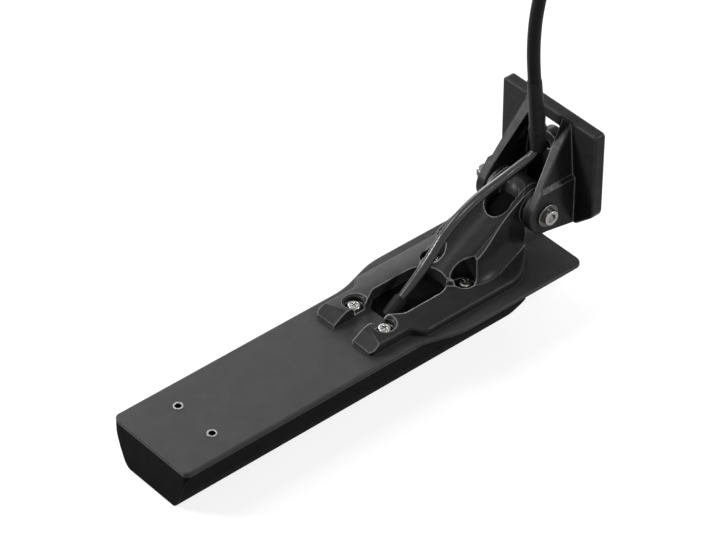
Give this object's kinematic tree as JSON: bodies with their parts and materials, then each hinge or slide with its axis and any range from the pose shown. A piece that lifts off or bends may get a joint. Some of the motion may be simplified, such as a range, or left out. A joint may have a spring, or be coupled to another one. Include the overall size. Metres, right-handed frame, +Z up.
{
  "type": "sonar transducer",
  "caption": "Long moulded sonar bar with a wide tail plate, a foot with a hinge arm, a tilting transom bracket and a tied cable with a round connector.",
  "frame": {"origin": "centre of the footprint of the bar and bracket, on the surface that the keel rests on", "axes": "+X along the bar from the nose to the transom bracket, +Y to the left hand side, +Z up"},
  "size_m": [0.6644, 0.078, 0.2642],
  "materials": {
    "bar_shell": "fine satin moulding",
    "bar_cover": "fine satin moulding",
    "bracket_plastic": "satin glass filled moulding",
    "stainless": "bright",
    "brass": "turned",
    "ceramic": "fired ceramic",
    "foam": "closed cell",
    "inner_plastic": "moulded",
    "board": "coated board",
    "relief_rubber": "moulded",
    "washer_plastic": "moulded",
    "cable_jacket": "extruded jacket",
    "tie_strap": "strap",
    "connector_plastic": "moulded"
  },
  "bodies": {
    "transducer": {"lower_housing": "bar_shell", "upper_housing": "bar_cover", "side_element_left": "ceramic", "side_element_right": "ceramic", "down_element": "ceramic", "round_element": "ceramic", "backing_foam": "foam", "element_frame": "inner_plastic", "junction_board": "board", "temperature_probe": "brass", "nose_bushes": "stainless", "mounting_inserts": "brass", "strain_relief": "relief_rubber", "foot_bracket": "bracket_plastic", "foot_screws": "stainless", "pivot_sleeve": "stainless", "friction_washers": "washer_plastic", "sensor_lead": "cable_jacket", "cable_boot": "relief_rubber", "main_cable": "cable_jacket", "cable_hank": "cable_jacket", "hank_tie": "tie_strap", "connector_body": "relief_rubber", "connector_collar": "connector_plastic", "connector_insert": "connector_plastic", "connector_pins": "brass"},
    "bracket": {"transom_bracket": "bracket_plastic", "pivot_bolt": "stainless", "pivot_washers": "stainless", "lock_nut": "stainless"}
  },
  "joints": [
    {"name": "tilt", "type": "hinge", "parent": "transducer", "child": "bracket", "pos_m": [0.1177, 0, 0.0624], "axis": [0, 1, 0], "range_deg": [-6, 38]}
  ]
}
